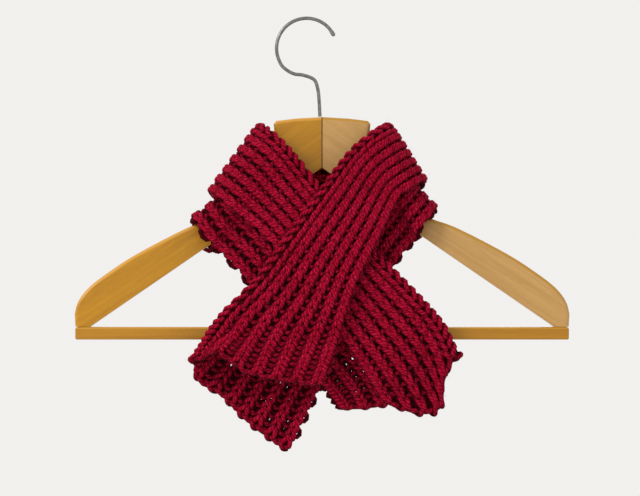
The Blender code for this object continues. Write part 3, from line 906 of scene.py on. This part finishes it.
def wire_material():
    material, tree, shader = new_material("dull_zinc", (0.2, 0.2, 0.19), 0.42, 1.0)
    where = add_node(tree, "ShaderNodeTexCoord")
    spangle = add_node(tree, "ShaderNodeTexNoise", Scale=420.0, Detail=4.0)
    tree.links.new(where.outputs["Object"], spangle.inputs["Vector"])
    colour = ramp(tree, spangle.outputs["Fac"], [(0.3, (0.13, 0.13, 0.125)),
                                                 (0.7, (0.26, 0.26, 0.25))])
    tree.links.new(colour, shader.inputs["Base Color"])
    rough = ramp(tree, spangle.outputs["Fac"], [(0.3, (0.30,) * 3), (0.7, (0.50,) * 3)])
    tree.links.new(rough, shader.inputs["Roughness"])
    bump = add_node(tree, "ShaderNodeBump", Strength=0.2, Distance=0.0002)
    tree.links.new(spangle.outputs["Fac"], bump.inputs["Height"])
    tree.links.new(bump.outputs["Normal"], shader.inputs["Normal"])
    return material


# ---------------------------------------------------------------- pieces

def finish_piece(thing, material, slot, *nodes):
    thing.data.materials.clear()
    thing.data.materials.append(material)
    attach(thing, "root")
    if nodes:
        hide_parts(*nodes)


def row_index(along):
    """The first row of stitches whose middle lies past a distance along the scarf."""
    step = (LENGTH - 2.0 * ROW_EDGE) / (ROWS - 1)
    return int(math.ceil((along - ROW_EDGE) / step))


def make_scarf():
    strip = Strip()
    rng = np.random.default_rng(SEED)
    wool = wool_material()
    ground = gap_shade_material()
    fibre = fibre_material()
    whole = int(COLUMNS)
    fold = int(FOLD_COLUMN)
    left, right = row_index(LEFT_SEAM), row_index(RIGHT_SEAM)
    slit_start, slit_end = row_index(SLIT[0]), row_index(SLIT[1])
    under = [panel_yarn(0, left, 0, whole, rng)]
    under += edge_cord(-CORD_BEYOND, 1.0)
    nape = [panel_yarn(left, right, 0, whole, rng)]
    over = [panel_yarn(right, slit_start, 0, whole, rng)]
    over.append(panel_yarn(slit_start, slit_end, 0, fold, rng))
    over.append(panel_yarn(slit_start, slit_end, fold, whole, rng))
    over.append(panel_yarn(slit_end, ROWS, 0, whole, rng))
    over += edge_cord(LENGTH + CORD_BEYOND, -1.0)
    parts = [
        ("under", under, 0.0, LEFT_SEAM - SEAM_GAP, None, ["hanger_arm_left"]),
        ("nape", nape, LEFT_SEAM + SEAM_GAP, RIGHT_SEAM - SEAM_GAP, None, ["hanger_arm_left"]),
        ("over", over, RIGHT_SEAM + SEAM_GAP, LENGTH, SLIT, ["hanger_arm_right"]),
    ]
    for word, strands, first, last, slit, rests in parts:
        yarn = yarn_mesh(f"scarf_{word}_stitches", strip, strands, YARN_RADIUS, YARN_SIDES)
        finish_piece(yarn, wool, "crimson_knit")
        verts, quads = hairs(strip, strands, int(HAIRS_PER_MM * (last - first)), rng)
        fuzz = mesh_piece(f"scarf_{word}_fuzz", verts, quads)
        finish_piece(fuzz, fibre, "crimson_knit")
        base = base_cloth(f"scarf_{word}_ground", strip, first, last, slit)
        finish_piece(base, ground, "crimson_knit", f"scarf_{word}_stretch")


def outline_points():
    """The arm's outline with its curved stretches rounded off by a smooth curve."""
    points = [Vector((out, 0.0, z)) for out, z in ARM_OUTLINE]
    result = points[:ARM_CRISP_POINTS]
    result += smooth_path(points[ARM_CRISP_POINTS:-1], ARM_CURVE_PARTS)
    result.append(points[-1])
    return result


def smooth_path(points, parts):
    """A smooth curve through points, with each gap cut into equal parts."""
    result = []
    last = len(points) - 1
    for index in range(last):
        rows = [points[max(index - 1, 0)], points[index], points[index + 1],
                points[min(index + 2, last)]]
        for part in range(parts):
            result.append(hermite(*rows, [0.0, 1.0, 2.0, 3.0], 1.0 + part / parts))
    result.append(points[-1])
    return result


def inset_outline(outline, rounded, distance):
    """The outline with its first points moved inwards, square to the edge."""
    result = list(outline)
    for index in range(rounded):
        out, z = outline[index]
        if index == 0:
            result[index] = (out, z - distance)
            continue
        if index == rounded - 1:
            result[index] = (out - distance, z)
            continue
        before = Vector(outline[index]) - Vector(outline[index - 1])
        after = Vector(outline[index + 1]) - Vector(outline[index])
        before.normalize()
        after.normalize()
        inward = Vector((before.y + after.y, -before.x - after.x)).normalized()
        square = Vector((before.y, -before.x))
        step = distance / max(0.5, inward.dot(square))
        result[index] = (out + inward.x * step, z + inward.y * step)
    return result


def hanger_arm(name, side):
    """One arm, with the edges of its upper side rounded over."""
    outline = [(max(point.x, 0.01), point.z) for point in outline_points()]
    rounded = len(outline)
    outline += [(TIP_INNER_X, BAR_TOP_Z + 0.1), (0.01, MITRE_Z)]
    half = ARM_THICKNESS / 2.0
    levels = []
    for step in range(ARM_EDGE_STEPS + 1):
        angle = math.pi / 2.0 * step / ARM_EDGE_STEPS
        depth = half - ARM_EDGE_ROUND * (1.0 - math.cos(angle))
        levels.append((depth, ARM_EDGE_ROUND * (1.0 - math.sin(angle))))
    levels += [(-depth, inset) for depth, inset in reversed(levels)]
    bm = bmesh.new()
    rings = []
    for depth, inset in levels:
        ring = []
        for out, z in inset_outline(outline, rounded, inset):
            y = -ARM_SWEEP * out - depth
            ring.append(bm.verts.new((CENTRE_X + side * out, y, z)))
        rings.append(ring)
    bm.faces.new(rings[0])
    bm.faces.new(list(reversed(rings[-1])))
    count = len(outline)
    for low, high in zip(rings, rings[1:]):
        for index in range(count):
            after = (index + 1) % count
            bm.faces.new([low[after], low[index], high[index], high[after]])
    return solid_piece(name, bm)


def solid_piece(name, bm, sharp=ARM_SHARP_DEGREES):
    """An object in metres from a bmesh in millimetres, smooth except at its sharp edges."""
    bmesh.ops.recalc_face_normals(bm, faces=bm.faces)
    for vert in bm.verts:
        vert.co *= METRE
    mesh = bpy.data.meshes.new(name)
    bm.to_mesh(mesh)
    bm.free()
    mesh.shade_smooth()
    mesh.set_sharp_from_angle(angle=math.radians(sharp))
    thing = bpy.data.objects.new(name, mesh)
    bpy.context.scene.collection.objects.link(thing)
    return thing


def trouser_bar():
    bm = bmesh.new()
    bmesh.ops.create_cube(bm, size=1.0)
    for vert in bm.verts:
        vert.co.x = vert.co.x * 2.0 * BAR_HALF_LENGTH + CENTRE_X
        vert.co.y = vert.co.y * BAR_DEPTH + BAR_Y
        vert.co.z = (vert.co.z - 0.5) * BAR_HEIGHT + BAR_TOP_Z
    bmesh.ops.bevel(bm, geom=list(bm.edges), offset=BAR_EDGE_ROUND, segments=BAR_EDGE_STEPS,
                    profile=0.5, affect="EDGES")
    return solid_piece("bar_lath", bm, ROUND_SHARP_DEGREES)


def hook_path():
    """Middle line of the wire, up the stem and round the loop."""
    points = [Vector((x, 0.0, z)) for x, z in HOOK_STEM]
    for step in range(HOOK_STEPS + 1):
        sweep = (HOOK_LAST_DEGREES - HOOK_FIRST_DEGREES) * step / HOOK_STEPS
        angle = math.radians(HOOK_FIRST_DEGREES + sweep)
        points.append(Vector((LOOP_CENTRE[0] + LOOP_RADIUS * math.cos(angle), 0.0,
                              LOOP_CENTRE[1] + LOOP_RADIUS * math.sin(angle))))
    return smooth_path(points, HOOK_CURVE_PARTS)


def wire_hook():
    """The wire as a swept round section, with a slightly swollen, rounded tip."""
    path = hook_path()
    radius = WIRE_DIAMETER / 2.0
    rings = []
    bm = bmesh.new()
    lengths = [0.0]
    for a, b in zip(path, path[1:]):
        lengths.append(lengths[-1] + (b - a).length)
    total = lengths[-1]
    stations = [(point, length) for point, length in zip(path, lengths)]
    tail = (path[-1] - path[-2]).normalized()
    stations += [(path[-1] + tail * step, total + step) for step in TIP_STEPS]
    for index, (point, length) in enumerate(stations):
        before = stations[max(index - 1, 0)][0]
        after = stations[min(index + 1, len(stations) - 1)][0]
        tangent = (after - before).normalized()
        side = Vector((0.0, 1.0, 0.0))
        lift = side.cross(tangent).normalized()
        left = total + TIP_LENGTH - length
        swell = 1.0 + TIP_SWELL * math.exp(-((left - TIP_SWELL_BACK) / TIP_SWELL_SPAN) ** 2)
        cap = math.sqrt(max(0.0, 1.0 - max(0.0, 1.0 - left / TIP_LENGTH) ** 2))
        size = radius * swell * max(cap, 0.05)
        ring = []
        for step in range(WIRE_SIDES):
            angle = 2 * math.pi * step / WIRE_SIDES
            ring.append(bm.verts.new(point + side * (size * math.cos(angle))
                                     + lift * (size * math.sin(angle))))
        rings.append(ring)
    for low, high in zip(rings, rings[1:]):
        for step in range(WIRE_SIDES):
            after = (step + 1) % WIRE_SIDES
            bm.faces.new([low[step], low[after], high[after], high[step]])
    bm.faces.new(list(reversed(rings[0])))
    bm.faces.new(rings[-1])
    return solid_piece("hook_wire", bm, ROUND_SHARP_DEGREES)


# Beech tones as main, dark and upward-facing colours.  The two arms are one beech: the left arm is a
# painted shaded copy and the right arm a painted lit copy, and the upward-facing colours are painted
# light.
SHADED_LEFT_BEECH = ((0.46, 0.21, 0.004), (0.37, 0.155, 0.003), (0.56, 0.27, 0.035))
LIT_RIGHT_BEECH = ((0.47, 0.27, 0.085), (0.40, 0.215, 0.058), (0.40, 0.19, 0.010))
AMBER = ((0.41, 0.18, 0.004), (0.32, 0.13, 0.003), (0.50, 0.24, 0.015))
GLUE_LINE = (0.12, 0.06, 0.02)
NO_JOINT = (1.0, 1.0, 1.0)


def make_hanger():
    # Each arm gets its own painted light: shaded on the left, lit on the right.
    for word, side, tones in (("left", -1, SHADED_LEFT_BEECH), ("right", 1, LIT_RIGHT_BEECH)):
        wood = wood_material(f"beech_{word}", -side * 34.0, *tones, GLUE_LINE)
        arm = hanger_arm(f"arm_{word}", side)
        finish_piece(arm, wood, "golden_beech", f"hanger_arm_{word}")
    wood = wood_material("beech_bar", 0.0, *AMBER, NO_JOINT)
    bar = trouser_bar()
    finish_piece(bar, wood, "golden_beech", "hanger_bar")
    zinc = wire_material()
    hook = wire_hook()
    finish_piece(hook, zinc, "zinc_wire", "hanger_hook")


# ---------------------------------------------------------------- stage

CAMERA_DISTANCE = 1.6
VIEW_WIDTH = 0.5747
VIEW_CENTRE = (0.01167, -0.2047)
SENSOR = 36.0
FLOOR_HALF = 2000.0
FLOOR_BELOW = 900.0
PALE_FLOOR = (0.80, 0.79, 0.76)
LIGHT_TARGET = (0.0, 0.0, -0.2)
LIGHTS = [
    # name   place             size energy colour
    ("key", (-1.6, -1.3, 1.2), 0.8, 34.0, (1.0, 0.97, 0.93)),
    ("fill", (1.8, -1.6, 0.2), 1.6, 2.0, (0.95, 0.97, 1.0)),
    ("back", (0.6, 1.8, 0.8), 1.6, 9.0, (1.0, 0.98, 0.95)),
]
SKY_COLOUR = (0.93, 0.92, 0.90, 1.0)
SKY_STRENGTH = 0.95


def make_camera():
    data = bpy.data.cameras.new("photo_camera")
    data.sensor_width = SENSOR
    data.lens = SENSOR * CAMERA_DISTANCE / VIEW_WIDTH
    camera = bpy.data.objects.new("photo_camera", data)
    camera.location = (VIEW_CENTRE[0], -CAMERA_DISTANCE, VIEW_CENTRE[1])
    camera.rotation_euler = (math.radians(90.0), 0.0, 0.0)
    bpy.context.scene.collection.objects.link(camera)
    bpy.context.scene.camera = camera


def area_light(name, place, size, energy, colour):
    data = bpy.data.lights.new(name, "AREA")
    data.shape = "SQUARE"
    data.size = size
    data.energy = energy
    data.color = colour
    light = bpy.data.objects.new(name, data)
    light.location = place
    aim = Vector(LIGHT_TARGET) - Vector(place)
    light.rotation_euler = aim.to_track_quat("-Z", "Y").to_euler()
    bpy.context.scene.collection.objects.link(light)


def make_stage():
    bm = bmesh.new()
    bmesh.ops.create_grid(bm, x_segments=1, y_segments=1, size=FLOOR_HALF)
    for vert in bm.verts:
        vert.co.z -= FLOOR_BELOW
    floor = solid_piece("floor", bm)
    floor.data.materials.append(new_material("pale_floor", PALE_FLOOR, 0.9)[0])
    for light in LIGHTS:
        area_light(*light)
    world = bpy.data.worlds.new("studio")
    world.use_nodes = True
    sky = world.node_tree.nodes["Background"]
    sky.inputs["Color"].default_value = SKY_COLOUR
    sky.inputs["Strength"].default_value = SKY_STRENGTH
    bpy.context.scene.world = world


bpy.context.scene.view_settings.view_transform = "Standard"
make_camera()
make_stage()
make_hanger()
make_scarf()

bpy.context.view_layer.update()
